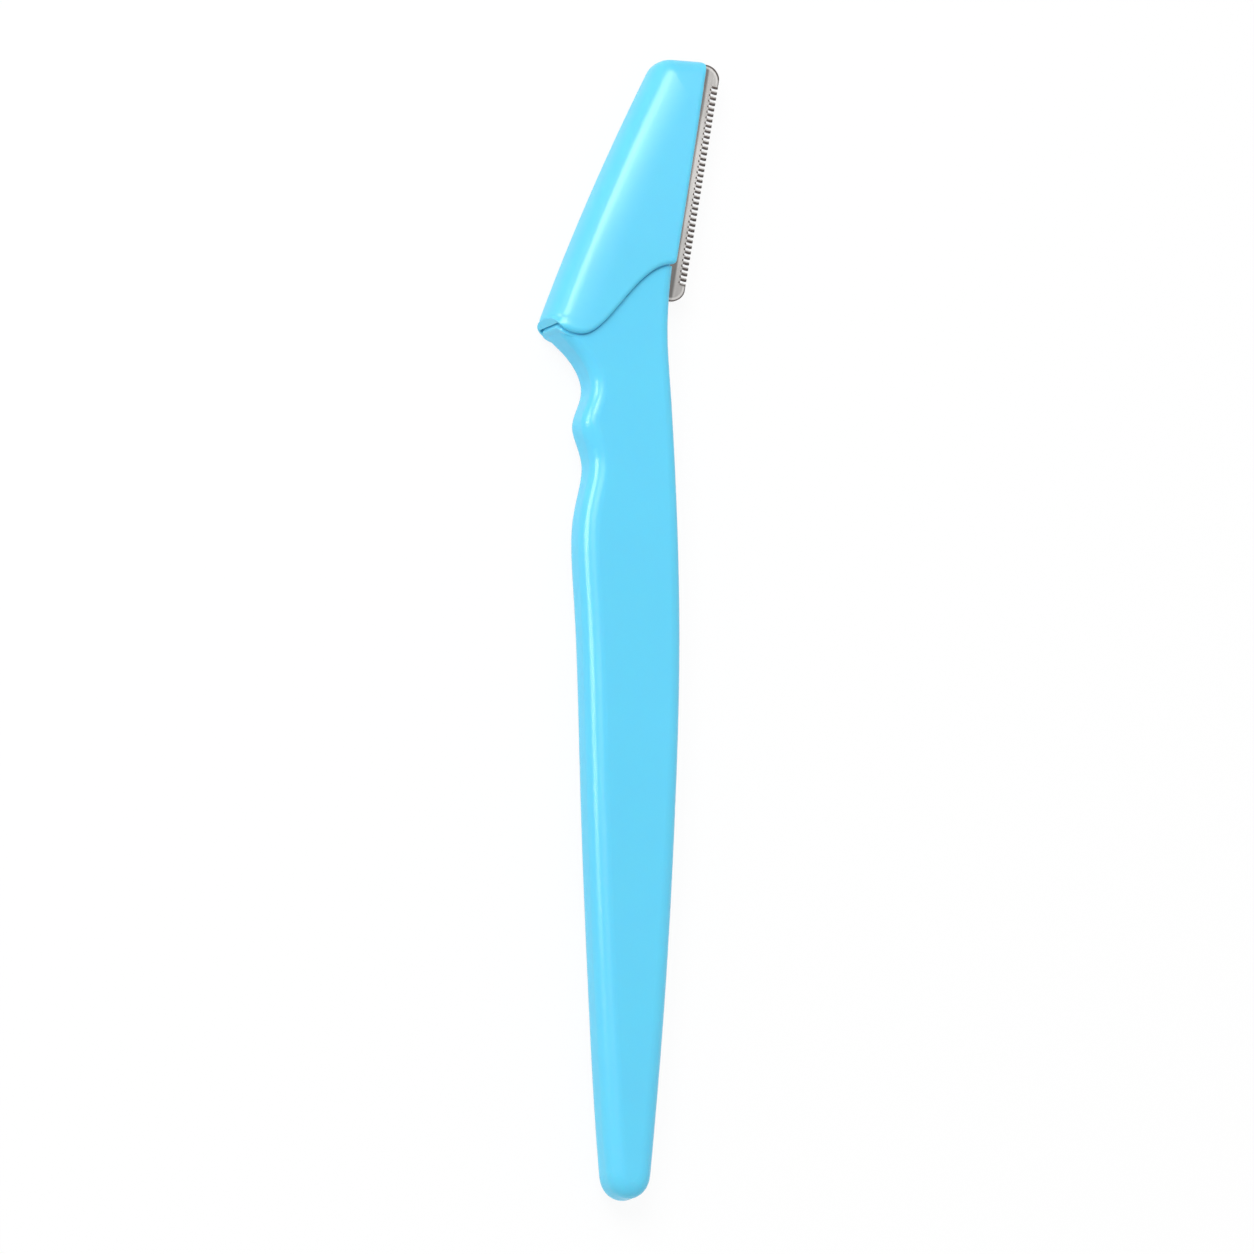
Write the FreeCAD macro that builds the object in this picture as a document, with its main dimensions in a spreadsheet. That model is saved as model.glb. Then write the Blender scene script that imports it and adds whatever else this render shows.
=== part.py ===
import FreeCAD, Part
import os
import re
import Sketcher

# Eyebrow razor: a moulded handle with a toothed blade in its head, and a slip-on cover over the head.
# Sketch datum: x from the handle's centre line (blade side positive), y from the lowest point of the
# cover's rim (head positive, tail negative), z from the middle of the thickness.
# Head datum: origin on the guard's outer edge, y along that edge, x out of the edge.

SIZES = {
    # Lengths along the handle's axis, on both sides of the rim's lobe
    "handle_length": 112.5,
    "head_length": 37.5,
    # Handle section, and how far the hidden head lies below the handle's faces
    "handle_thickness": 6.2,
    "head_step": 0.15,
    "edge_round_head": 1.2,
    "edge_round_tail": 2.3,
    # Control points of the handle's grip side, with their level below the rim's lobe
    "chin_rise": 4.7,
    "chin_inset": 0.7,
    "chin_setback": 0.22,
    "chin_level": 0.9,
    "neck_reach": 7.5,
    "neck_level": 1.6,
    "hollow_reach": 4.33,
    "upper_hollow_level": 6.8,
    "bump_reach": 8.0,
    "bump_level": 11.4,
    "lower_hollow_level": 16.2,
    "grip_end_reach": 7.7,
    "grip_end_level": 23.8,
    "flank_upper_reach": 6.26,
    "flank_upper_level": 36.0,
    "flank_lower_reach": 5.84,
    "flank_lower_level": 60.0,
    # Control points of the handle's blade side
    "throat_reach": 4.75,
    "throat_level": 3.1,
    "throat_rise": 1.4,
    "shoulder_reach": 5.45,
    "shoulder_level": 3.8,
    "swell_reach": 6.5,
    "swell_upper_level": 20.0,
    "swell_lower_level": 60.0,
    "belly_reach": 7.12,
    "belly_level": 40.0,
    # Tail: its round end, the straight run into it (with its slope) and the taper's level above its end
    "tail_round": 3.0,
    "tail_run": 7.0,
    "tail_slope": 0.1,
    "tail_shift": 0.05,
    "taper_half_width": 4.96,
    "taper_level": 27.3,
    "taper_shift": 0.26,
    # Cover
    "cover_wall": 1.0,
    "cover_clearance": 0.15,
    "cover_edge_round": 1.4,
    "cover_corner_round": 2.6,
    "cover_lip_round": 0.3,
    "heel_reach": 12.25,
    "spine_top": 4.6,
    "spine_bow": 0.56,
    "crown_level": 10.5,
    "crown_drop": 0.6,
    # Rim of the cover, and the shoulder on the handle below it
    "rim_gap": 0.2,
    "tongue_root": 0.25,
    "tongue_round": 1.0,
    "edge_recess": 0.2,
    "rim_rise": 10.1,
    "rim_pull": 5.5,
    "lobe_reach": 7.6,
    "lobe_pull": 4.0,
    "heel_pull": 1.6,
    "heel_bend_reach": 10.5,
    "heel_bend_rise": 0.45,
    "heel_rise": 2.3,
    # Blade edge line
    "edge_lean": 9.8,
    "edge_middle_x": 11.0,
    "edge_middle_y": 22.4,
    "edge_exposure": 3.15,
    # Guard and blade, along the edge line from its middle
    "guard_heel": 17.25,
    "toe_drop": 0.56,
    "toe_round": 2.0,
    "heel_round": 2.2,
    "guard_sheet": 0.12,
    "guard_setback": 0.4,
    "tang_step": 3.7,
    "tang_gap": 0.25,
    "blade_thickness": 0.25,
    "blade_width": 6.6,
    "edge_setback": 0.3,
    "bevel_width": 0.9,
    "slot_pitch": 0.745,
    "slot_width": 0.38,
    "slot_depth": 0.95,
    "slot_end": 2.6,
    # Seat of the blade in the head
    "seat_clearance": 0.1,
    "slit_length": 5.25,
    "stud_radius": 0.7,
    "stud_end": 2.6,
    "hole_clearance": 0.05,
    "stake_radius": 1.15,
    "stake_height": 0.45,
    "stake_round": 0.3,
    # Part frame: the centre line's offset from the middle of the whole razor's width
    "axis_offset": 0.91,
}

# How far cutting sketches reach past the solid
MARGIN = 5.0
# Control length of a quarter circle, as a share of its radius
QUARTER = 0.5523
# Places of the studs: heel end, middle and toe end of the clamp
STUDS = (-1, 0, 1)
# Lengths below this count as nothing when edges are picked
NEAR = 1e-3

V = FreeCAD.Vector
doc = FreeCAD.newDocument("EyebrowRazor")
sheet = doc.addObject("Spreadsheet::Sheet", "Sizes")
for row, (alias, number) in enumerate(SIZES.items(), start=1):
    sheet.set(f"A{row}", alias)
    sheet.set(f"B{row}", str(number))
    sheet.setAlias(f"B{row}", alias)
doc.recompute()


def value(expression):
    """The number that an expression on the sheet gives now."""
    return float(sheet.evalExpression(expression))


def size(text):
    """Turn bare size names into references to the sheet."""
    return re.sub("[a-z_]+", lambda word: "Sizes." * (word[0] in SIZES) + word[0], text)


def new_body(name):
    return doc.addObject("PartDesign::Body", name)


def new_sketch(body, name, role="XY_Plane", **offset):
    """A sketch on one of the body's own planes, shifted and turned by named expressions."""
    sketch = body.newObject("Sketcher::SketchObject", name)
    plane = [item for item in body.Origin.OriginFeatures if item.Role == role][0]
    sketch.AttachmentSupport = [(plane, "")]
    sketch.MapMode = "FlatFace"
    if "turn" in offset:
        sketch.AttachmentOffset = FreeCAD.Placement(V(0, 0, 0), FreeCAD.Rotation(V(0, 0, 1), -1))
        sketch.setExpression("AttachmentOffset.Rotation.Angle", size(offset["turn"]))
    for axis in ("x", "y", "z"):
        if axis in offset:
            sketch.setExpression("AttachmentOffset.Base." + axis, size(offset[axis]))
    return sketch


def pin(sketch, geometry, position, point):
    """Hold a point of the sketch at two expressions, measured from the sketch's origin."""
    for kind, text in zip(("DistanceX", "DistanceY"), point):
        expression = size(text)
        number = value(expression)
        index = sketch.addConstraint(Sketcher.Constraint(kind, -1, 1, geometry, position, number))
        sketch.setExpression(f"Constraints[{index}]", expression)


def place(point):
    return V(value(size(point[0])), value(size(point[1])), 0)


def outline(sketch, *runs):
    """A closed outline. A run of two points is a line, of three a parabola, of more a cubic spline
    on those control points. Each run starts where the one before it ended."""
    pieces = []
    start = runs[0][0]
    runs = [runs[0][1:]] + list(runs[1:])
    for run in runs:
        points = [start] + list(run)
        start = points[-1]
        places = [place(point) for point in points]
        if len(points) == 2:
            piece = sketch.addGeometry(Part.LineSegment(*places), False)
            pin(sketch, piece, 1, points[0])
        else:
            degree = min(3, len(points) - 1)
            curve = Part.BSplineCurve(places, None, None, False, degree, None, False)
            piece = sketch.addGeometry(curve, False)
            first = None
            for index, (point, spot) in enumerate(zip(points, places)):
                pole = sketch.addGeometry(Part.Circle(spot, V(0, 0, 1), 1.0), True)
                alignment = "InternalAlignment:Sketcher::BSplineControlPoint"
                sketch.addConstraint(Sketcher.Constraint(alignment, pole, 3, piece, index))
                if first is None:
                    first = pole
                    sketch.addConstraint(Sketcher.Constraint("Weight", pole, 1.0))
                else:
                    sketch.addConstraint(Sketcher.Constraint("Equal", first, pole))
                if index < len(points) - 1:
                    pin(sketch, pole, 3, point)
        pieces.append(piece)
    for before, after in zip(pieces, pieces[1:] + pieces[:1]):
        sketch.addConstraint(Sketcher.Constraint("Coincident", before, 2, after, 1))


def polygon(sketch, *corners):
    """A closed outline of straight lines."""
    closed = list(corners) + [corners[0]]
    outline(sketch, closed[:2], *[[corner] for corner in closed[2:]])


def rectangle(sketch, low, high):
    polygon(sketch, low, (high[0], low[1]), high, (low[0], high[1]))


def circle(sketch, centre, radius):
    middle = place(centre)
    ring = sketch.addGeometry(Part.Circle(middle, V(0, 0, 1), value(size(radius))), False)
    pin(sketch, ring, 3, centre)
    index = sketch.addConstraint(Sketcher.Constraint("Radius", ring, value(size(radius))))
    sketch.setExpression(f"Constraints[{index}]", size(radius))


def pad(body, sketch, name, length, both=True):
    feature = body.newObject("PartDesign::Pad", name)
    feature.Profile = sketch
    feature.Midplane = both
    feature.setExpression("Length", size(length))
    doc.recompute()
    return feature


def pocket(body, sketch, name, up=False, length=None):
    """Cut through the whole body, from the sketch upwards only, or to a given height."""
    before = body.Shape.Volume
    feature = body.newObject("PartDesign::Pocket", name)
    feature.Profile = sketch
    if length is None:
        feature.Type = "ThroughAll"
    else:
        feature.setExpression("Length", size(length))
    feature.Midplane = not up
    feature.Reversed = up
    doc.recompute()
    if body.Shape.Volume > before - 1e-6:
        raise RuntimeError(f"{name} cuts nothing")
    return feature


def fillet(body, name, edges, radius):
    base = body.Tip
    feature = body.newObject("PartDesign::Fillet", name)
    feature.Base = (base, edges)
    feature.setExpression("Radius", size(radius))
    doc.recompute()
    return feature


def edge_names(shape, wanted):
    return [f"Edge{index}" for index, edge in enumerate(shape.Edges, start=1) if wanted(edge)]


def middle_of(edge):
    return edge.valueAt((edge.FirstParameter + edge.LastParameter) / 2)


def spans(edge):
    """Extent of an edge along x, y and z."""
    box = edge.BoundBox
    return box.XLength, box.YLength, box.ZLength


def right_edge(level):
    """How far the plastic's blade-side edge lies from the centre line at a level."""
    run = f"(({level}) - edge_middle_y) * tan(edge_lean)"
    return f"(edge_middle_x + {run} - edge_exposure / cos(edge_lean))"


def spine_line(level):
    """The straight line that the cover's spine bows out from, at a level."""
    return f"(- heel_reach + ({level}) * (spine_top + heel_reach) / head_length)"


SPINE_LEAN = "atan((spine_top + heel_reach) / head_length)"
FAR_RIGHT = f"(edge_middle_x + edge_exposure + {MARGIN})"
FAR_LEFT = f"(- heel_reach - {MARGIN})"
FAR_UP = f"(head_length + {MARGIN})"
FAR_DOWN = f"(- handle_length - {MARGIN})"
# Half thicknesses of the folded steel, the head and the cover, and the level of the clamp's top
PACK_HALF = "(blade_thickness / 2 + guard_sheet)"
HEAD_HALF = "(handle_thickness / 2 - head_step)"
COVER_HALF = f"({HEAD_HALF} + cover_clearance + cover_wall)"
CLAMP_TOP = f"({HEAD_HALF} - crown_drop - stake_height - seat_clearance)"
# Places along the edge line: the steel's toe end, the hidden tang's toe end and the seat's heel end
TOE = "((head_length - edge_middle_y) / cos(edge_lean) - toe_drop)"
TANG = f"({TOE} - tang_step)"
SEAT = "(guard_heel - slit_length)"
# Depths behind the edge line: the head's blade-side face and the guard's back edge
HEAD_SIDE = "(edge_exposure + edge_recess)"
LEAF = "(blade_width - guard_setback)"
HEAD_FRAME = {"x": "edge_middle_x", "y": "edge_middle_y", "turn": "- edge_lean"}


def cut_at_rim(body, name, drop, far):
    """Remove everything between the rim curve, lowered by drop, and a far level."""
    right = right_edge("rim_rise")
    top = f"rim_rise - ({drop})"
    low = f"0 - ({drop})"
    heel = f"heel_rise - ({drop})"
    sketch = new_sketch(body, name + "Sketch")
    outline(
        sketch,
        [(FAR_RIGHT, far), (FAR_RIGHT, top)],
        [(right, top)],
        [(f"{right} - rim_pull", top), ("lobe_pull - lobe_reach", low), ("- lobe_reach", low)],
        [
            ("- lobe_reach - heel_pull", low),
            ("- heel_bend_reach", f"heel_bend_rise - ({drop})"),
            (f"{spine_line('heel_rise')} - spine_bow / 2", heel),
        ],
        [(FAR_LEFT, heel)],
        [(FAR_LEFT, far)],
        [(FAR_RIGHT, far)],
    )
    pocket(body, sketch, name)


def wedge_block(body, name, inset):
    """The head's wedge: crowned thickness, leaning spine and level top, all lying inside the cover's
    outer faces by inset. It runs on past the blade side and below the rim."""
    half = f"({COVER_HALF} - ({inset}))"
    rate = f"(({FAR_UP} - crown_level) / (head_length - crown_level))"
    thin = f"({half} - crown_drop * {rate} ^ 2)"
    middle = f"(crown_level + {FAR_UP}) / 2"
    low = f"- {MARGIN}"
    side = new_sketch(body, name + "Side", "YZ_Plane")
    outline(
        side,
        [(low, f"- {half}"), ("crown_level", f"- {half}")],
        [(middle, f"- {half}"), (FAR_UP, f"- {thin}")],
        [(FAR_UP, thin)],
        [(middle, half), ("crown_level", half)],
        [(low, half)],
        [(low, f"- {half}")],
    )
    pad(body, side, name + "Block", f"2 * {FAR_RIGHT}")
    shift = f"({inset}) / cos({SPINE_LEAN})"
    bow = f"4 / 3 * spine_bow / cos({SPINE_LEAN})"
    top = f"(head_length - ({inset}))"
    bottom = f"(- 2 * {MARGIN})"
    past = f"(2 * {FAR_RIGHT})"
    over = f"(2 * {FAR_UP})"
    foot = (f"{spine_line('0')} + {shift}", "0")
    straight_on = f"{spine_line(bottom)} + {shift} - 3 * {bow} * {bottom} / {top}"
    trim = new_sketch(body, name + "Outline")
    outline(
        trim,
        [
            foot,
            (f"{spine_line(f'{top} / 3')} + {shift} - {bow}", f"{top} / 3"),
            (f"{spine_line(f'2 * {top} / 3')} + {shift} - {bow}", f"2 * {top} / 3"),
            (f"{spine_line(top)} + {shift}", top),
        ],
        [(past, top)],
        [(past, over)],
        [(f"- {past}", over)],
        [(f"- {past}", bottom)],
        [(straight_on, bottom)],
        [foot],
    )
    pocket(body, trim, name + "Trim")


def cut_blade_side(body, name, inset):
    """Cut the wedge along the blade, inside the cover's blade-side edge by inset."""
    sketch = new_sketch(body, name + "Sketch", **HEAD_FRAME)
    edge = f"- (edge_exposure + {inset})"
    rectangle(sketch, (edge, f"- 2 * {FAR_UP}"), (f"2 * {FAR_RIGHT}", f"2 * {FAR_UP}"))
    pocket(body, sketch, name)


def stud_circles(body, name, radius, **offset):
    """A circle at each stud, in the head's datum."""
    sketch = new_sketch(body, name, **offset)
    across = f"- ({LEAF} + {HEAD_SIDE}) / 2"
    middle = f"({TANG} - {SEAT}) / 2"
    reach = f"(({TANG} + {SEAT}) / 2 - stud_end)"
    for step in STUDS:
        circle(sketch, (across, f"{middle} + {step} * {reach}"), radius)
    return sketch


def set_in_part(item, label, in_head=False):
    """Name a finished piece and put it in the part's frame."""
    item.Label = label
    shift = {
        "x": "- axis_offset",
        "y": "(handle_length - head_length) / 2",
        "z": COVER_HALF,
    }
    if in_head:
        shift["x"] += " + edge_middle_x"
        shift["y"] += " + edge_middle_y"
        item.Placement = FreeCAD.Placement(V(0, 0, 0), FreeCAD.Rotation(V(0, 0, 1), -1))
        item.setExpression("Placement.Rotation.Angle", size("- edge_lean"))
    for axis, expression in shift.items():
        item.setExpression("Placement.Base." + axis, size(expression))
    return item


def make_grip():
    """The handle's outline, with edges that round off more towards the tail."""
    blank = new_body("GripBlank")
    sketch = new_sketch(blank, "GripOutline")
    tail = "- handle_length"
    curve = f"tail_round * {QUARTER}"
    round_level = f"{tail} + tail_round"
    run_level = f"{round_level} + tail_run"
    run_width = "(tail_round + tail_slope * tail_run)"
    bend_level = f"{round_level} - {curve}"
    bend_width = f"(tail_round - tail_slope * {curve})"
    chin_top = "2 * chin_rise"
    throat_top = "rim_rise + throat_rise"
    start = (f"{spine_line(chin_top)} + chin_inset", chin_top)
    outline(
        sketch,
        [
            start,
            (f"{spine_line('chin_rise')} + chin_inset", "chin_rise"),
            ("chin_setback - heel_reach", "chin_level"),
            ("- neck_reach", "- neck_level"),
            ("- hollow_reach", "- upper_hollow_level"),
            ("- bump_reach", "- bump_level"),
            ("- hollow_reach", "- lower_hollow_level"),
            ("- grip_end_reach", "- grip_end_level"),
            ("- flank_upper_reach", "- flank_upper_level"),
            ("- flank_lower_reach", "- flank_lower_level"),
            ("taper_shift - taper_half_width", f"{tail} + taper_level"),
            (f"- tail_shift - {run_width}", run_level),
            ("- tail_shift - tail_round", round_level),
        ],
        [
            (f"- tail_shift - {bend_width}", bend_level),
            (f"- tail_shift - {curve}", tail),
            ("- tail_shift", tail),
        ],
        [
            (f"- tail_shift + {curve}", tail),
            (f"- tail_shift + {bend_width}", bend_level),
            ("- tail_shift + tail_round", round_level),
        ],
        [
            (f"- tail_shift + {run_width}", run_level),
            ("taper_shift + taper_half_width", f"{tail} + taper_level"),
            ("swell_reach", "- swell_lower_level"),
            ("belly_reach", "- belly_level"),
            ("swell_reach", "- swell_upper_level"),
            ("shoulder_reach", "- shoulder_level"),
            ("throat_reach", "throat_level"),
            (right_edge(throat_top), throat_top),
        ],
        [start],
    )
    pad(blank, sketch, "GripPad", "handle_thickness")
    rounded = doc.addObject("Part::Fillet", "GripRounded")
    rounded.Base = blank
    at_head = value(size("edge_round_head"))
    at_tail = value(size("edge_round_tail"))
    edges = []
    for index, edge in enumerate(blank.Shape.Edges, start=1):
        if spans(edge)[2] > NEAR or middle_of(edge).y > 0:
            continue
        ends = (edge.valueAt(edge.FirstParameter), edge.valueAt(edge.LastParameter))
        edges.append((index, *[at_head if end.y > 0 else at_tail for end in ends]))
    rounded.Edges = edges
    doc.recompute()
    return rounded


def make_tongue():
    """The part of the handle's head that fills the cover."""
    tongue = new_body("Tongue")
    wedge_block(tongue, "Tongue", "cover_wall + cover_clearance")
    cut_blade_side(tongue, "TongueEdge", "edge_recess")
    half = value(size(HEAD_HALF)) / 2
    long_edges = edge_names(
        tongue.Shape,
        lambda edge: abs(middle_of(edge).z) > half and spans(edge)[1] > NEAR,
    )
    fillet(tongue, "TongueRound", long_edges, "tongue_round")
    cut_at_rim(tongue, "TongueFoot", "rim_gap + tongue_root", FAR_DOWN)
    return tongue


def make_handle():
    handle = new_body("Handle")
    handle.BaseFeature = make_grip()
    doc.recompute()
    cut_at_rim(handle, "Shoulder", "rim_gap", FAR_UP)
    join = handle.newObject("PartDesign::Boolean", "Head")
    join.Type = "Fuse"
    join.setObjects([make_tongue()])
    doc.recompute()
    floor = dict(HEAD_FRAME, z=f"- {PACK_HALF}")
    back = "- blade_width - seat_clearance"
    recess = new_sketch(handle, "RecessSketch", **floor)
    rectangle(recess, (back, f"- {SEAT}"), (str(MARGIN), f"{TANG} + seat_clearance"))
    pocket(handle, recess, "Recess", up=True)
    slit = new_sketch(handle, "SlitSketch", **floor)
    rectangle(slit, (back, "- guard_heel - seat_clearance"), (str(MARGIN), f"- {SEAT}"))
    pocket(handle, slit, "Slit", up=True, length=f"2 * {PACK_HALF} + seat_clearance")
    root = f"({PACK_HALF} + stud_radius)"
    studs = stud_circles(handle, "StudSketch", "stud_radius", **dict(HEAD_FRAME, z=f"- {root}"))
    pad(handle, studs, "Studs", f"{root} + {CLAMP_TOP} + stake_height / 2", both=False)
    stakes = stud_circles(handle, "StakeSketch", "stake_radius", **dict(HEAD_FRAME, z=CLAMP_TOP))
    pad(handle, stakes, "Stakes", "stake_height", both=False)
    stake_top = value(size(f"{CLAMP_TOP} + stake_height"))
    rims = edge_names(
        handle.Shape,
        lambda edge: edge.isClosed() and spans(edge)[2] < NEAR
        and abs(middle_of(edge).z - stake_top) < NEAR,
    )
    fillet(handle, "StakeRound", rims, "stake_round")
    return set_in_part(handle, "handle")


def lip_edges(shape):
    """Outer edges of the cover's open sides, which all face down the handle."""
    open_sides = []
    for face in shape.Faces:
        low_u, high_u, low_v, high_v = face.ParameterRange
        facing = face.normalAt((low_u + high_u) / 2, (low_v + high_v) / 2)
        if abs(facing.z) < NEAR and facing.y < - NEAR:
            open_sides.append(face)
    shared = [edge for face in open_sides for edge in face.Edges]
    return edge_names(
        shape,
        lambda edge: max(spans(edge)[:2]) > NEAR and any(edge.isSame(other) for other in shared),
    )


def make_cover():
    cover = new_body("Cover")
    wedge_block(cover, "Shell", "0")
    corner = place((spine_line("head_length"), "head_length"))
    top_edge = edge_names(
        cover.Shape,
        lambda edge: max(spans(edge)[:2]) < NEAR and abs(middle_of(edge).x - corner.x) < NEAR,
    )
    fillet(cover, "ShellCorner", top_edge, "cover_corner_round")
    quarter = value(size(COVER_HALF)) / 2
    crown = value(size("crown_level"))
    chain = edge_names(
        cover.Shape,
        lambda edge: abs(middle_of(edge).z) > quarter and spans(edge)[0] > NEAR
        and (spans(edge)[1] > NEAR or middle_of(edge).y > crown + NEAR),
    )
    fillet(cover, "ShellRound", chain, "cover_edge_round")
    cut_blade_side(cover, "BladeSide", "0")
    cut_at_rim(cover, "Rim", "0", FAR_DOWN)
    fillet(cover, "Lip", lip_edges(cover.Shape), "cover_lip_round")
    core = new_body("Core")
    wedge_block(core, "Cavity", "cover_wall")
    hollow = cover.newObject("PartDesign::Boolean", "Hollow")
    hollow.Type = "Cut"
    hollow.setObjects([core])
    doc.recompute()
    return set_in_part(cover, "safety_cover")


def round_corner(body, name, radius, reach, way):
    """Cut an exposed corner of the strip to a quarter round, at the toe (way 1) or the heel (way -1)."""
    start = f"{way} * ({reach} - {radius})"
    bend = f"{way} * ({reach} - {radius} * (1 - {QUARTER}))"
    end = f"{way} * {reach}"
    beyond = f"{way} * ({reach} + {MARGIN})"
    sketch = new_sketch(body, name + "Sketch")
    outline(
        sketch,
        [("0", start), ("0", bend), (f"- {radius} * (1 - {QUARTER})", end), (f"- {radius}", end)],
        [(f"- {radius}", beyond)],
        [(str(MARGIN), beyond)],
        [(str(MARGIN), start)],
        [("0", start)],
    )
    pocket(body, sketch, name)


def trim_steel(body, name):
    """Round the exposed corners, step the tang back under the cover's top wall and pierce it."""
    round_corner(body, name + "Toe", "toe_round", TOE, 1)
    round_corner(body, name + "Heel", "heel_round", "guard_heel", -1)
    tang = new_sketch(body, name + "TangSketch")
    step = ("tang_gap - edge_exposure", f"{TOE} + {MARGIN}")
    rectangle(tang, (f"- blade_width - {MARGIN}", TANG), step)
    pocket(body, tang, name + "Tang")
    holes = stud_circles(body, name + "HoleSketch", "stud_radius + hole_clearance")
    pocket(body, holes, name + "Holes")


def strip_sketch(body, name):
    """A sketch of a strip's section, at the toe end of the blade edge."""
    return new_sketch(body, name, "XZ_Plane", z=f"- {TOE}")


def make_blade():
    blade = new_body("Blade")
    section = strip_sketch(blade, "BladeSection")
    half = "blade_thickness / 2"
    bevel = "- edge_setback - bevel_width"
    polygon(
        section,
        ("- blade_width", f"- {half}"),
        (bevel, f"- {half}"),
        ("- edge_setback", "0"),
        (bevel, half),
        ("- blade_width", half),
    )
    pad(blade, section, "BladeStrip", f"{TOE} + guard_heel", both=False)
    trim_steel(blade, "Blade")
    return set_in_part(blade, "cutting_blade", in_head=True)


def make_guard():
    guard = new_body("Guard")
    section = strip_sketch(guard, "GuardSection")
    outer = PACK_HALF
    inner = "(blade_thickness / 2)"
    fold = f"- {outer}"
    back = f"- {LEAF}"
    outer_curve = f"{outer} * {QUARTER}"
    inner_curve = f"{inner} * {QUARTER}"
    inside = f"{fold} + {inner}"
    outline(
        section,
        [(back, outer), (fold, outer)],
        [(f"{fold} + {outer_curve}", outer), ("0", outer_curve), ("0", "0")],
        [("0", f"- {outer_curve}"), (f"{fold} + {outer_curve}", f"- {outer}"), (fold, f"- {outer}")],
        [(back, f"- {outer}")],
        [(back, f"- {inner}")],
        [(fold, f"- {inner}")],
        [(f"{fold} + {inner_curve}", f"- {inner}"), (inside, f"- {inner_curve}"), (inside, "0")],
        [(inside, inner_curve), (f"{fold} + {inner_curve}", inner), (fold, inner)],
        [(back, inner)],
        [(back, outer)],
    )
    pad(guard, section, "GuardStrip", f"{TOE} + guard_heel", both=False)
    trim_steel(guard, "Guard")
    slot = new_sketch(guard, "SlotSketch")
    row_length = f"(floor(({TOE} + guard_heel - 2 * slot_end) / slot_pitch) * slot_pitch)"
    first = f"({TOE} - guard_heel - {row_length}) / 2"
    corner = ("- slot_depth", f"{first} - slot_width / 2")
    rectangle(slot, corner, (str(MARGIN), f"{first} + slot_width / 2"))
    cut = pocket(guard, slot, "Slot")
    row = guard.newObject("PartDesign::LinearPattern", "SlotRow")
    row.Originals = [cut]
    row.Direction = (slot, ["V_Axis"])
    row.setExpression("Length", size(row_length))
    row.setExpression("Occurrences", size(f"{row_length} / slot_pitch + 1"))
    guard.Tip = row
    doc.recompute()
    return set_in_part(guard, "blade_guard", in_head=True)


def make_clamp():
    clamp = new_body("Clamp")
    sketch = new_sketch(clamp, "ClampSketch", z=PACK_HALF)
    rectangle(sketch, ("- blade_width", f"seat_clearance - {SEAT}"), (f"- {HEAD_SIDE}", TANG))
    pad(clamp, sketch, "ClampPlate", f"{CLAMP_TOP} - {PACK_HALF}", both=False)
    holes = stud_circles(clamp, "ClampHoleSketch", "stud_radius + hole_clearance")
    pocket(clamp, holes, "ClampHoles")
    return set_in_part(clamp, "blade_clamp", in_head=True)


pieces = [make_handle(), make_cover(), make_blade(), make_guard(), make_clamp()]
doc.recompute()
for item in doc.Objects:
    if "Invalid" in item.State or "Error" in item.State:
        raise RuntimeError(f"{item.Name} failed: {item.State}")
for piece in pieces:
    if piece.Shape.isNull() or not piece.Shape.isValid():
        raise RuntimeError(f"{piece.Label} has no valid shape")
os.makedirs("parts", exist_ok=True)
for piece in pieces:
    box = piece.Shape.optimalBoundingBox(False)
    print(f"{piece.Label}: {len(piece.Shape.Solids)} solid, {piece.Shape.Volume:.1f} mm3,",
          f"{box.XLength:.2f} x {box.YLength:.2f} x {box.ZLength:.2f} mm")
    piece.Shape.exportStep(f"parts/{piece.Label}.step")
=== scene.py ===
import math

import bmesh
import bpy
import numpy as np
from mathutils import Matrix, Vector


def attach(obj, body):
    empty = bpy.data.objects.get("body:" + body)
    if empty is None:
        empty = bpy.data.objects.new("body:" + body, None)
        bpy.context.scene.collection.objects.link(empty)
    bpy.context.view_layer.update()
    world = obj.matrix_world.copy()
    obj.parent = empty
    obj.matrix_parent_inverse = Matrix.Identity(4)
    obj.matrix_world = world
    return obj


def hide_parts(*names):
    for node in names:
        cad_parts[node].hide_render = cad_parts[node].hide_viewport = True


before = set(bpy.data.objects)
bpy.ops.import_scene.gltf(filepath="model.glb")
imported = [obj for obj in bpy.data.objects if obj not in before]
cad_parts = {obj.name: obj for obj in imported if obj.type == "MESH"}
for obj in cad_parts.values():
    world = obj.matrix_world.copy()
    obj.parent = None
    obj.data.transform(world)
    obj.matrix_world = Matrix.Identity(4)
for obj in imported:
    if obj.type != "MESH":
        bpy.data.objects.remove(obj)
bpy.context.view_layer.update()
mm = 0.001
print("frame loaded:", sorted(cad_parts))

# Where the handle's centre line, the rim's lowest point and mid-thickness lie in the frame, in mm
datum = {"axisX": -0.91, "rimY": 37.5, "midZ": 4.1}
# The guard's folded edge: a point on it in mm from the datum, its lean from the handle's axis in degrees,
# and how far it runs from that point to the toe and to the heel
edgeLine = {"x": 11.0, "y": 22.4, "lean": 9.8, "toe": 14.76, "heel": -17.25}


# Node helpers

def newMaterial(name):
    material = bpy.data.materials.new(name)
    material.use_nodes = True
    return material, material.node_tree, material.node_tree.nodes["Principled BSDF"]


def put(tree, socket, value):  # a link from another socket, or a plain value
    if isinstance(value, bpy.types.NodeSocket):
        tree.links.new(value, socket)
    else:
        socket.default_value = value


def calc(tree, operation, *values):
    node = tree.nodes.new("ShaderNodeMath")
    node.operation = operation
    for socket, value in zip(node.inputs, values):
        put(tree, socket, value)
    return node.outputs[0]


def scaled(tree, value, factor, start):  # start + value * factor
    return calc(tree, "MULTIPLY_ADD", value, factor, start)


def times(tree, first, *others):  # product of two or more values
    for other in others:
        first = calc(tree, "MULTIPLY", first, other)
    return first


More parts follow.
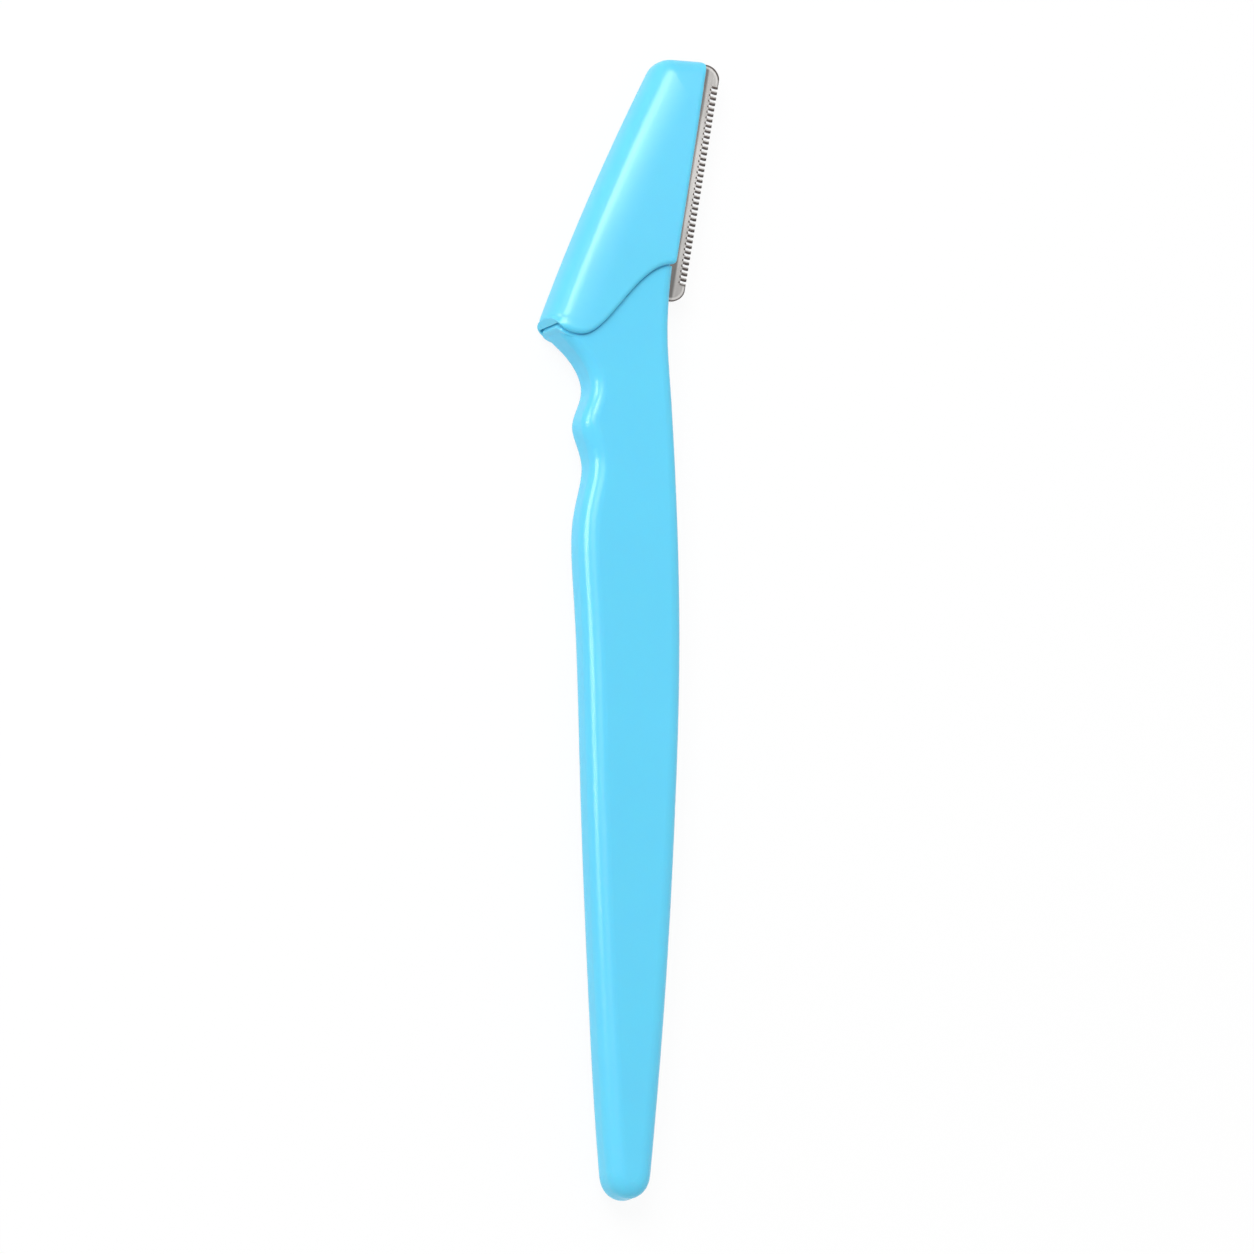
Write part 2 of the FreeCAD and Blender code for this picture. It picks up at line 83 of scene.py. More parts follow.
def swing(tree, noise, depth, middle):  # noise about 0.5 made into a swing about another middle
    return scaled(tree, calc(tree, "SUBTRACT", noise, 0.5), depth, middle)


def fadeOver(tree, value, low, high):  # 0 below low, 1 above high, smooth between; high may lie under low
    node = tree.nodes.new("ShaderNodeMapRange")
    node.interpolation_type = "SMOOTHSTEP"
    put(tree, node.inputs["Value"], value)
    for name, number in (("From Min", low), ("From Max", high), ("To Min", 0.0), ("To Max", 1.0)):
        node.inputs[name].default_value = number
    return node.outputs["Result"]


def blendColours(tree, factor, first, second):
    node = tree.nodes.new("ShaderNodeMix")
    node.data_type = "RGBA"
    put(tree, node.inputs["Factor"], factor)
    put(tree, node.inputs[6], first)  # the colour sockets share their names with the other kinds
    put(tree, node.inputs[7], second)
    return node.outputs[2]


def noiseAt(tree, vector, scale, detail=2.0):
    node = tree.nodes.new("ShaderNodeTexNoise")
    put(tree, node.inputs["Vector"], vector)
    put(tree, node.inputs["Scale"], scale)
    node.inputs["Detail"].default_value = detail
    return node.outputs["Fac"]


def joined(tree, *values):
    node = tree.nodes.new("ShaderNodeCombineXYZ")
    for socket, value in zip(node.inputs, values):
        put(tree, socket, value)
    return node.outputs["Vector"]


def objectPlace(tree):
    return tree.nodes.new("ShaderNodeTexCoord").outputs["Object"]


def tinted(tree, colour, value, hue=0.5):  # colour with its brightness multiplied and its hue turned
    node = tree.nodes.new("ShaderNodeHueSaturation")
    for name, setting in (("Color", colour), ("Value", value), ("Hue", hue)):
        put(tree, node.inputs[name], setting)
    return node.outputs["Color"]


def addBump(tree, shader, height, strength, depth):
    bump = tree.nodes.new("ShaderNodeBump")
    bump.inputs["Strength"].default_value = strength
    bump.inputs["Distance"].default_value = depth
    put(tree, bump.inputs["Height"], height)
    put(tree, shader.inputs["Normal"], bump.outputs["Normal"])


# An input is a name, a kind and a first value; an output is a name and a kind
def newGroup(name, inputs, outputs):
    group = bpy.data.node_groups.new(name, "ShaderNodeTree")
    for label, kind, value in inputs:
        socket = group.interface.new_socket(label, in_out="INPUT", socket_type="NodeSocket" + kind)
        socket.default_value = value
    for label, kind in outputs:
        group.interface.new_socket(label, in_out="OUTPUT", socket_type="NodeSocket" + kind)
    entry, leave = group.nodes.new("NodeGroupInput"), group.nodes.new("NodeGroupOutput")
    return group, entry.outputs, leave.inputs


def placeGroup(tree, group, **values):
    node = tree.nodes.new("ShaderNodeGroup")
    node.node_tree = group
    for name, value in values.items():
        put(tree, node.inputs[name], value)
    return node.outputs


# Moulding marks: a broad drift of tone, patches of duller gloss, and a faint waviness with fine grain in it
mouldNoise = {"broad": 45.0, "patch": 170.0, "wave": 320.0, "grain": 5200.0,  # noise steps per metre
              "hueDepth": 0.008, "grainShare": 0.04}


def mouldMarksGroup():
    inputs = [("Colour", "Color", (0.5, 0.5, 0.5, 1.0)), ("Gloss", "Float", 0.25),
              ("ToneDepth", "Float", 0.05), ("GlossDepth", "Float", 0.06)]
    outputs = [("Colour", "Color"), ("Roughness", "Float"), ("Height", "Float")]
    group, given, out = newGroup("mouldMarks", inputs, outputs)
    place = objectPlace(group)
    broad = noiseAt(group, place, mouldNoise["broad"])
    patch = noiseAt(group, place, mouldNoise["patch"], 3.0)
    wave = noiseAt(group, place, mouldNoise["wave"], 1.0)
    grain = noiseAt(group, place, mouldNoise["grain"])
    tone = swing(group, broad, given["ToneDepth"], 1.0)
    hue = swing(group, patch, mouldNoise["hueDepth"], 0.5)
    put(group, out["Colour"], tinted(group, given["Colour"], tone, hue))
    put(group, out["Roughness"], swing(group, patch, given["GlossDepth"], given["Gloss"]))
    put(group, out["Height"], scaled(group, grain, mouldNoise["grainShare"], wave))
    return group


# Rolled and brushed sheet: long lines along the edge, broader bands across it, and the place on it in mm
sheetNoise = {"lineAcross": 9.0, "lineAlong": 0.35,  # noise steps per mm
              "bandAcross": 0.12, "bandAlong": 0.24, "bandPlane": 3.7,
              "lineHeight": 0.00003}  # metres


def sheetLinesGroup():
    inputs = [("LineDepth", "Float", 0.1), ("BandDepth", "Float", 0.1)]
    outputs = [(name, "Float") for name in ("Across", "Along", "Tone", "Lines")]
    group, given, out = newGroup("sheetLines", inputs, outputs)
    lean = math.radians(edgeLine["lean"])
    x, y = edgeLine["x"] + datum["axisX"], edgeLine["y"] + datum["rimY"]
    mapping = group.nodes.new("ShaderNodeMapping")
    mapping.inputs["Scale"].default_value = (1 / mm, 1 / mm, 1 / mm)
    mapping.inputs["Rotation"].default_value = (0.0, 0.0, lean)
    mapping.inputs["Location"].default_value = (y * math.sin(lean) - x * math.cos(lean),
                                                -x * math.sin(lean) - y * math.cos(lean), -datum["midZ"])
    put(group, mapping.inputs["Vector"], objectPlace(group))
    parts = group.nodes.new("ShaderNodeSeparateXYZ")
    put(group, parts.inputs[0], mapping.outputs["Vector"])
    across, along, up = parts.outputs
    linePlace = joined(group, times(group, across, sheetNoise["lineAcross"]),
                       times(group, along, sheetNoise["lineAlong"]),
                       times(group, up, sheetNoise["lineAcross"]))
    bandPlace = joined(group, times(group, across, sheetNoise["bandAcross"]),
                       times(group, along, sheetNoise["bandAlong"]), sheetNoise["bandPlane"])
    lines, bands = noiseAt(group, linePlace, 1.0, 3.0), noiseAt(group, bandPlace, 1.0, 1.0)
    tone = swing(group, bands, given["BandDepth"], swing(group, lines, given["LineDepth"], 1.0))
    for name, value in (("Across", across), ("Along", along), ("Tone", tone), ("Lines", lines)):
        put(group, out[name], value)
    return group


mouldMarks, sheetLines = mouldMarksGroup(), sheetLinesGroup()

# Glossy sky-blue plastic, dullest on the clamp; depth and height in metres
plastic = {"colour": (0.128, 0.625, 0.88, 1.0), "subsurface": 0.3, "depth": 0.0012,
           "scatter": (0.25, 0.8, 1.0), "ior": 1.28, "glossDepth": 0.06, "waveHeight": 0.00012,
           "handle": {"gloss": 0.23, "toneDepth": 0.07, "bump": 0.05},
           "cover": {"gloss": 0.33, "toneDepth": 0.06, "bump": 0.05},
           "clamp": {"gloss": 0.40, "toneDepth": 0.10, "bump": 0.12}}


def mouldedPlastic(name, gloss, toneDepth, bump):
    material, tree, shader = newMaterial(name)
    marks = placeGroup(tree, mouldMarks, Colour=plastic["colour"], Gloss=gloss, ToneDepth=toneDepth,
                       GlossDepth=plastic["glossDepth"])
    put(tree, shader.inputs["Base Color"], marks["Colour"])
    put(tree, shader.inputs["Roughness"], marks["Roughness"])
    addBump(tree, shader, marks["Height"], bump, plastic["waveHeight"])
    shader.inputs["Subsurface Weight"].default_value = plastic["subsurface"]
    shader.inputs["Subsurface Radius"].default_value = plastic["scatter"]
    shader.inputs["Subsurface Scale"].default_value = plastic["depth"]
    shader.inputs["IOR"].default_value = plastic["ior"]
    return material


# Guard: satin sheet, painted shade over the comb along the fold, and at toe and heel a painted shade line
# along the cut edge with a painted highlight just inside it.
# A pair is where a fade begins and where it is full: in mm, or for a share in parts of the comb's pitch.
guard = {"colour": (0.52, 0.505, 0.49, 1.0), "combShade": (0.045, 0.036, 0.033, 1.0),
         "edgeShadeLine": (0.10, 0.085, 0.08, 1.0), "rimHighlight": (0.62, 0.605, 0.59, 1.0),
         "gloss": 0.21, "lineGloss": 0.10, "combDull": 0.22,
         "lineDepth": 0.22, "bandDepth": 0.5, "bump": 0.12,
         "cornerRound": 2.1, "edgeShadeWidth": 0.2, "edgeShadeSoft": 0.08, "rimHighlightFade": (0.62, 0.36), "rimHighlightBlend": 0.6,
         "endFade": (-0.5, 0.0), "pitch": 0.745, "toothShare": (0.60, 0.50), "toothRoot": (-0.98, -0.9),
         "slotEndShare": (0.55, 0.68), "slotEndInner": (-1.2, -1.1), "slotEndOuter": (-0.78, -0.9),
         "combStop": (-0.25, -0.45), "coverShadowFade": (-1.5, -1.85), "coverShadowDepth": -0.6,
         "sheenMiddle": 1.0, "sheenReach": 17.0, "sheenEndDrop": -0.35}
sheetMiddle, sheetHalf = (edgeLine["toe"] + edgeLine["heel"]) / 2, (edgeLine["toe"] - edgeLine["heel"]) / 2


# Signed distance to a box with round corners, its right side on the fold: the depth in mm from the cut
# outline, and how far a point lies past the start of the end corners
def guardOutline(tree, across, along):
    corner = guard["cornerRound"]
    overX = calc(tree, "ADD", across, corner)
    fromMiddle = calc(tree, "ABSOLUTE", calc(tree, "SUBTRACT", along, sheetMiddle))
    overY = calc(tree, "SUBTRACT", fromMiddle, sheetHalf - corner)
    outX, outY = calc(tree, "MAXIMUM", overX, 0.0), calc(tree, "MAXIMUM", overY, 0.0)
    outside = calc(tree, "SQRT", calc(tree, "ADD", times(tree, outX, outX), times(tree, outY, outY)))
    inside = calc(tree, "MINIMUM", calc(tree, "MAXIMUM", overX, overY), 0.0)
    return calc(tree, "SUBTRACT", corner, calc(tree, "ADD", outside, inside)), overY


# Share of a pitch above the nearest slot's middle: painted shade from there over the slot and the tooth's
# lower side, and painted shadow at each slot's inner end
def combShadeMask(tree, across, along, overY):
    aboveSlot = calc(tree, "SUBTRACT", along, sheetMiddle + guard["pitch"] / 2)
    share = calc(tree, "FRACT", times(tree, aboveSlot, 1 / guard["pitch"]))
    tooth = times(tree, fadeOver(tree, share, *guard["toothShare"]),
                  fadeOver(tree, across, *guard["toothRoot"]))
    slotEndShadow = times(tree, fadeOver(tree, share, *guard["slotEndShare"]),
                    fadeOver(tree, across, *guard["slotEndInner"]),
                    fadeOver(tree, across, *guard["slotEndOuter"]))
    return times(tree, calc(tree, "MAXIMUM", tooth, slotEndShadow), fadeOver(tree, overY, *guard["combStop"]))


def guardSteel():
    material, tree, shader = newMaterial("guardSteel")
    sheet = placeGroup(tree, sheetLines, LineDepth=guard["lineDepth"], BandDepth=guard["bandDepth"])
    across, along = sheet["Across"], sheet["Along"]
    depth, overY = guardOutline(tree, across, along)
    # painted shade over the comb's teeth and the inner ends of its slots
    combShade = combShadeMask(tree, across, along, overY)
    atEnds = fadeOver(tree, overY, *guard["endFade"])
    # painted shade line along the cut edge at toe and heel
    inner, outer = guard["edgeShadeWidth"] + guard["edgeShadeSoft"], guard["edgeShadeWidth"] - guard["edgeShadeSoft"]
    cut = times(tree, fadeOver(tree, depth, inner, outer), atEnds)
    # painted highlight along the rim just inside the cut edge
    rimHighlight = times(tree, fadeOver(tree, depth, *guard["rimHighlightFade"]), atEnds)
    # painted sheen, brightest near the middle and darker towards both ends, and painted shadow darkening the
    # sheet towards the plastic
    sheenFalloff = times(tree, calc(tree, "SUBTRACT", along, guard["sheenMiddle"]), 1 / guard["sheenReach"])
    # painted shadow of the plastic, darkening the sheet near it
    coverShadow = fadeOver(tree, across, *guard["coverShadowFade"])
    # the sheet's own tone times the painted sheen and the painted shadow
    tone = times(tree, sheet["Tone"], scaled(tree, times(tree, sheenFalloff, sheenFalloff), guard["sheenEndDrop"], 1.0),
                 scaled(tree, coverShadow, guard["coverShadowDepth"], 1.0))
    colour = tinted(tree, guard["colour"], tone)
    colour = blendColours(tree, times(tree, rimHighlight, guard["rimHighlightBlend"]), colour, guard["rimHighlight"])
    colour = blendColours(tree, cut, colour, guard["edgeShadeLine"])
    put(tree, shader.inputs["Base Color"], blendColours(tree, combShade, colour, guard["combShade"]))
    rough = scaled(tree, sheet["Lines"], guard["lineGloss"], guard["gloss"] - guard["lineGloss"] / 2)
    put(tree, shader.inputs["Roughness"], scaled(tree, combShade, guard["combDull"], rough))
    shader.inputs["Metallic"].default_value = 1.0
    addBump(tree, shader, sheet["Lines"], guard["bump"], sheetNoise["lineHeight"])
    return material


# Blade: brushed strip with a ground, polished bevel along its edge, in mm from the guard's fold
blade = {"colour": (0.66, 0.66, 0.67, 1.0), "bevel": (0.93, 0.93, 0.94, 1.0), "gloss": 0.28,
         "bevelGloss": 0.14, "lineGloss": 0.1, "lineDepth": 0.3, "bandDepth": 0.16, "bump": 0.1,
         "edge": -0.3, "bevelWidth": 0.9, "bevelSoft": 0.06}


def bladeSteel():
    material, tree, shader = newMaterial("bladeSteel")
    sheet = placeGroup(tree, sheetLines, LineDepth=blade["lineDepth"], BandDepth=blade["bandDepth"])
    bevelRoot = blade["edge"] - blade["bevelWidth"]
    ground = fadeOver(tree, sheet["Across"], bevelRoot - blade["bevelSoft"], bevelRoot + blade["bevelSoft"])
    colour = tinted(tree, blade["colour"], sheet["Tone"])
    put(tree, shader.inputs["Base Color"], blendColours(tree, ground, colour, blade["bevel"]))
    rough = scaled(tree, sheet["Lines"], blade["lineGloss"], blade["gloss"] - blade["lineGloss"] / 2)
    put(tree, shader.inputs["Roughness"], scaled(tree, ground, blade["bevelGloss"] - blade["gloss"], rough))
    shader.inputs["Metallic"].default_value = 1.0
    addBump(tree, shader, sheet["Lines"], blade["bump"], sheetNoise["lineHeight"])
    return material


handlePlastic = mouldedPlastic("handlePlastic", **plastic["handle"])
coverPlastic = mouldedPlastic("coverPlastic", **plastic["cover"])
clampPlastic = mouldedPlastic("clampPlastic", **plastic["clamp"])
finishes = {"handle": handlePlastic, "blade_clamp": clampPlastic, "safety_cover": coverPlastic,
            "blade_guard": guardSteel(), "cutting_blade": bladeSteel()}
for node, finish in finishes.items():
    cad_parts[node].data.materials.clear()
    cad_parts[node].data.materials.append(finish)
print("materials made")


# Curves, in mm: x from the handle's centre line, y from the rim, z from mid-thickness

def bezier(poles, t):  # cubic Bernstein sum, one row per t
    p = np.asarray(poles, float)
    t = np.asarray(t, float)[:, None]
    return (1 - t) ** 3 * p[0] + 3 * (1 - t) ** 2 * t * p[1] + 3 * (1 - t) * t ** 2 * p[2] + t ** 3 * p[3]


def runOf(points):  # length run along a polyline up to each of its points
    return np.concatenate(([0.0], np.cumsum(np.hypot(*np.diff(points, axis=0).T))))


def resampled(points, shares):  # points of a polyline at shares of its length, or at equal steps for a count
    run = runOf(points)
    shares = np.linspace(0, 1, shares) if isinstance(shares, int) else shares
    return np.column_stack([np.interp(shares * run[-1], run, points[:, axis]) for axis in (0, 1)])


def softened(points, reach, steps=800):  # polyline averaged over a window of twice the reach, its ends kept
    fine = resampled(points, steps + 1)
    count = max(1, int(reach / (runOf(points)[-1] / steps)))
    weights = np.hanning(2 * count + 3)[1:-1]
    weights = weights / weights.sum()
    padded = np.pad(fine, ((count, count), (0, 0)), mode="reflect", reflect_type="odd")
    return np.column_stack([np.convolve(padded[:, axis], weights, "valid") for axis in (0, 1)])


def distanceTo(line, points, chunk=4000):  # shortest distance of each point to the segments of a polyline
    start, way = line[:-1], np.diff(line, axis=0)
    best = np.full(len(points), np.inf)
    for first in range(0, len(points), chunk):
        gap = points[first:first + chunk, None, :] - start[None]
        share = np.clip((gap * way).sum(2) / (way * way).sum(1), 0, 1)
        best[first:first + chunk] = np.sqrt(((gap - share[..., None] * way) ** 2).sum(2).min(1))
    return best


def roundedCorner(before, corner, after, radius, count):  # arc that joins two straight runs at a corner
    before, corner, after = (np.asarray(point, float) for point in (before, corner, after))
    inWay, outWay = ((b - a) / np.hypot(*(b - a)) for a, b in ((before, corner), (corner, after)))
    turn = math.acos(np.clip(np.dot(inWay, outWay), -1, 1))
    side = np.sign(inWay[0] * outWay[1] - inWay[1] * outWay[0])
    start = corner - inWay * radius * math.tan(turn / 2)
    hub = start + side * radius * np.array((-inWay[1], inWay[0]))
    angle = side * np.linspace(0, turn, count)
    spoke = start - hub
    return hub + np.column_stack((spoke[0] * np.cos(angle) - spoke[1] * np.sin(angle),
                                  spoke[0] * np.sin(angle) + spoke[1] * np.cos(angle)))


def between(first, second, shares):  # straight rows from each point of one path to its partner on another
    return first[:, None] + np.asarray(shares)[:, None] * (second - first)[:, None]


def lifted(plan, z):  # plan points with their heights
    return np.concatenate((plan, np.broadcast_to(z, plan.shape[:2])[..., None]), axis=2)


def gridFaces(rows, columns, first):  # quads of a rows x columns grid of vertices
    corner = first + np.arange(rows - 1)[:, None] * columns + np.arange(columns - 1)[None, :]
    return np.stack((corner, corner + columns, corner + columns + 1, corner + 1), axis=-1).reshape(-1, 4)


def toFrame(points):  # mm about the handle's own axes to metres in the frame
    return (points.reshape(-1, 3) + np.array((datum["axisX"], datum["rimY"], datum["midZ"]))) * mm


def addToScene(name, data):
    thing = bpy.data.objects.new(name, data)
    bpy.context.scene.collection.objects.link(thing)
    return thing


# Grids of the front half are mirrored to the back half and joined into one closed mesh
def makePiece(name, grids, body, material, sharp, weldGap=2e-7, thinEdge=1e-8):
    points, faces, first = [], [], 0
    for grid in grids:
        for way in (1, -1):
            points.append(grid.reshape(-1, 3) * np.array((1, 1, way)))
            faces.append(gridFaces(*grid.shape[:2], first)[:, ::way])
            first += grid.shape[0] * grid.shape[1]
    mesh = bpy.data.meshes.new(name)
    mesh.from_pydata(toFrame(np.concatenate(points)).tolist(), [], np.concatenate(faces).tolist())
    work = bmesh.new()
    work.from_mesh(mesh)
    bmesh.ops.remove_doubles(work, verts=work.verts, dist=weldGap)
    bmesh.ops.dissolve_degenerate(work, edges=work.edges, dist=thinEdge)
    bmesh.ops.recalc_face_normals(work, faces=work.faces)
    work.to_mesh(mesh)
    work.free()
    mesh.shade_smooth()
    mesh.set_sharp_from_angle(angle=math.radians(sharp))
    mesh.materials.append(material)
    piece = addToScene(name, mesh)
    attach(piece, body)
    return piece


# Slip-on cover: a flat wedge, closed along the spine and the top, open along the blade and the S-shaped rim
cover = {"heelReach": 12.33, "spineTop": 4.3, "headLength": 37.5, "bow": 0.56,
         "cornerRound": 2.7, "endRound": 0.7, "half": 4.1, "crownLevel": 10.5, "crownDrop": 0.6,
         "wall": 1.0, "leastWall": 0.28, "cavityRound": 1.2,
         "pillowReach": 5.5, "pillowDrop": 1.1, "wallReach": 2.5, "wallPower": 3.0,
         "lipRound": 0.6, "lipStart": 0.8, "lipFade": 2.4,
         "rimCorner": 0.45, "heelBlend": 3.0, "heelSoft": 0.9,
         # poles of the rim's two curves, from the blade side down and on to the spine
         "flank": ((5.679, 10.1), (0.179, 10.1), (-3.6, 0.0), (-7.6, 0.0)),
         "heel": ((-7.6, 0.0), (-9.2, 0.0), (-10.5, 0.45), (-11.5, 2.3)),
         # a point on the straight blade-side edge, and the edge's slope
         "bladeSide": (7.8034, 22.4, 0.17273),
         # level that parts the lower from the upper spine, and how much of the blade side faces the upper one
         "splitLevel": 13.5, "sideShare": 0.74,
         "rows": {"lowerSpine": 84, "upperSpine": 80, "corner": 36, "top": 28, "end": 12},
         "columns": {"face": 64, "wall": 7, "cavity": 20},
         # points on each curve; spineEnd is how many points back the spine's direction at the top is read
         "steps": {"spine": 400, "heel": 300, "flank": 400, "arc": 60, "bend": 13, "spineEnd": 40},
         "apart": 0.01, "farRight": 40.0,  # least gap between joined curves, and a place far along the top
         "sharp": 120.0}  # degrees


def bladeSideX(y):  # straight blade-side edge of the plastic
    x, level, slope = cover["bladeSide"]
    return x + (y - level) * slope


sideTop = np.array((bladeSideX(cover["headLength"]), cover["headLength"]))


def spineCurve(inset):  # bowed line of the spine, inset from the outer face, from the rim's level to the top
    lean = math.atan((cover["spineTop"] + cover["heelReach"]) / cover["headLength"])
    top = cover["headLength"] - inset
    levels = np.array((0, top / 3, 2 * top / 3, top))
    bow = 4 / 3 * cover["bow"] / math.cos(lean) * np.array((0, 1, 1, 0))
    x = -cover["heelReach"] + levels * math.tan(lean) + inset / math.cos(lean) - bow
    return bezier(np.column_stack((x, levels)), np.linspace(0, 1, cover["steps"]["spine"]))


def coverHalf(y):  # half thickness, thinning as a parabola above the crown
    past = np.clip(y - cover["crownLevel"], 0, None) / (cover["headLength"] - cover["crownLevel"])
    return cover["half"] - cover["crownDrop"] * past ** 2


def quarterDrop(gap, reach, drop):  # quarter ellipse that takes a face down to its edge
    return drop * (1 - np.sqrt(1 - (1 - np.clip(gap / reach, 0, 1)) ** 2))


def wallRise(gap):  # superellipse, (1 - (1 - g)^n)^(1/n), that takes the face round into the wall
    power = cover["wallPower"]
    return (1 - np.clip(1 - gap / cover["wallReach"], 0, 1) ** power) ** (1 / power)


def pillowHeight(gap, plan):  # outer face over the plan, from the distance to spine and top
    pillow = quarterDrop(gap, cover["pillowReach"], cover["pillowDrop"])
    return (coverHalf(plan[:, 1]) - pillow) * wallRise(gap)


def edgePath(inset, cornerRound, start):  # spine from a start point, and the arc from it on to the top
    steps, spine = cover["steps"], spineCurve(inset)
    arc = roundedCorner(spine[-steps["spineEnd"]], spine[-1], spine[-1] + (1, 0), cornerRound, steps["arc"])
    low, high = start[1] + cover["apart"], arc[0, 1] - cover["apart"]
    spine = spine[(spine[:, 1] > low) & (spine[:, 1] < high)]
    return np.vstack((start, spine)), arc


def rimPath():  # S-shaped rim from the spine to the blade side, where it bends into the straight edge
    steps = cover["steps"]
    heel = bezier(cover["heel"], np.linspace(1, 0, steps["heel"]))
    rim = np.vstack((heel, bezier(cover["flank"], np.linspace(1, 0, steps["flank"]))[1:]))
    rim = rim[np.argmin(distanceTo(spineCurve(0), heel)):]
    bend = roundedCorner(rim[-1] - (1, 0), rim[-1], sideTop, cover["rimCorner"], steps["bend"])
    return np.vstack((rim[rim[:, 0] < bend[0, 0] - 2 * cover["apart"]], bend))


def sideShares():  # steps up the blade side, one for each row above the lower spine
    rows, share = cover["rows"], cover["sideShare"]
    past = rows["corner"] + rows["top"] + rows["end"]
    lower, upper = np.linspace(0, share, rows["upperSpine"] + 1), np.linspace(share, 1, past + 1)
    return np.concatenate((lower, upper[1:]))


# Outer paths, row by row: the closed edge up the spine and over the top, and the open one along the rim and
# the blade side; then the whole line of spine and top, and the whole line of the lip
def outerPaths(rim):
    rows = cover["rows"]
    lowSpine, arc = edgePath(0, cover["cornerRound"], rim[0])
    # the heel, where the rim meets the spine, is softened into one curve and split again at its middle
    nearRim, nearSpine = runOf(rim) < cover["heelBlend"], runOf(lowSpine) < cover["heelBlend"]
    heel = softened(np.vstack((rim[nearRim][::-1], lowSpine[nearSpine][1:])), cover["heelSoft"])
    middle = np.argmin(np.hypot(*(heel - rim[0]).T))
    softRim = np.vstack((heel[:middle + 1][::-1], rim[~nearRim]))
    lowSpine = np.vstack((heel[middle:], lowSpine[~nearSpine]))
    split = np.searchsorted(lowSpine[:, 1], cover["splitLevel"])
    endArc = roundedCorner(arc[-1], sideTop, rim[-1], cover["endRound"], rows["end"] + 1)
    runs = {"lowerSpine": lowSpine[:split + 1], "upperSpine": np.vstack((lowSpine[split:], arc[:1])),
            "corner": arc, "top": np.vstack((arc[-1:], endArc[:1])), "end": endArc}
    stretches = [resampled(points, rows[name] + 1)[1:] for name, points in runs.items()]
    edge = np.vstack([lowSpine[:1]] + stretches)
    side = resampled(np.vstack((rim[-1], endArc[-1])), sideShares())
    opening = np.vstack((resampled(softRim, rows["lowerSpine"] + 1), side[1:]))
    crease = np.vstack((lowSpine, arc, (cover["farRight"], cover["headLength"])))
    return edge, opening, crease, np.vstack((opening, endArc[::-1][1:]))


def cavityPaths(rim):  # the same closed and open paths for the cavity, one wall further in
    rows, shares = cover["rows"], sideShares()
    start = rim[np.argmin(distanceTo(spineCurve(cover["wall"]), rim[:cover["steps"]["heel"]]))]
    spine, arc = edgePath(cover["wall"], cover["cavityRound"], start)
    end = np.array((bladeSideX(arc[-1, 1]), arc[-1, 1]))
    split = np.searchsorted(spine[:, 1], cover["splitLevel"])
    upper = resampled(np.vstack((spine[split:], arc, end)), len(shares))
    edge = np.vstack((resampled(spine[:split + 1], rows["lowerSpine"] + 1), upper[1:]))
    innerRim = np.vstack((start, rim[rim[:, 0] > start[0] + cover["apart"]]))
    side = resampled(np.vstack((rim[-1], end)), shares)
    return edge, np.vstack((resampled(innerRim, rows["lowerSpine"] + 1), side[1:]))


def coverFace(edge, opening, crease, lip):  # rows from edge to opening: the pillow less the open lip's round
    angle = np.linspace(0, math.pi, cover["columns"]["face"])
    plan = between(edge, opening, (1 - np.cos(angle)) / 2)  # columns closer at both sides
    flat = plan.reshape(-1, 2)
    gap = distanceTo(crease, flat)
    fade = np.clip((gap - cover["lipStart"]) / cover["lipFade"], 0, 1)  # no lip where the wall comes round
    drop = quarterDrop(distanceTo(lip, flat), cover["lipRound"], cover["lipRound"])
    return lifted(plan, (pillowHeight(gap, flat) - drop * fade).reshape(plan.shape[:2]))


def coverCavity(edge, opening, crease):  # a wall below the flat face, and the least wall below the pillow
    plan = between(opening, edge, np.linspace(0, 1, cover["columns"]["cavity"]))
    flat = plan.reshape(-1, 2)
    underFlat = coverHalf(flat[:, 1]) - cover["wall"]
    underPillow = pillowHeight(distanceTo(crease, flat), flat) - cover["leastWall"]
    return lifted(plan, np.minimum(underFlat, underPillow).reshape(plan.shape[:2]))


def makeCover():
    rim = rimPath()
    edge, opening, crease, lip = outerPaths(rim)
    innerEdge, innerOpening = cavityPaths(rim)
    face, cavity = coverFace(edge, opening, crease, lip), coverCavity(innerEdge, innerOpening, crease)
    # half wall at the edge, cut through the lip, and half cavity wall
    rise = np.linspace(0, 1, cover["columns"]["wall"])
    wall = lifted(between(edge, edge, rise), face[:, :1, 2] * rise)
    cutHeight = face[:, -1:, 2] * (1 - rise) + cavity[:, :1, 2] * rise
    cut = lifted(between(opening, innerOpening, rise), cutHeight)
    cavityWall = lifted(between(innerEdge, innerEdge, rise), cavity[:, -1:, 2] * rise[::-1])
    shell = np.concatenate((wall, face[:, 1:], cut[:, 1:], cavity[:, 1:], cavityWall[:, 1:]), axis=1)
    # at both ends the cut goes through the wall from front to back
    ends = [cut[row][:, None] * np.column_stack((np.ones((len(rise), 2)), rise)) for row in (0, -1)]
    piece = makePiece("coverShell", [shell] + ends, "cover", coverPlastic, cover["sharp"])
    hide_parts("safety_cover")


makeCover()
print("cover made")


# Stage, light and camera: the view's angles are in degrees, and centrePixel is where the middle of the
# handle's line falls
view = {"turn": 23.0, "rise": 10.0, "mmPerPixel": 0.1293, "imagePixels": 1254, "centrePixel": (625.0, 627.2),
        "lens": 1200.0, "sensor": 36.0, "clipEnd": 30.0}
stage = {"floorHalf": 4.0, "floorColour": (0.92, 0.92, 0.92, 1.0), "floorGrain": 30.0, "floorDull": 0.85,
         "floorDullDepth": 0.1, "whiteShare": 0.92, "roomLight": 0.62}
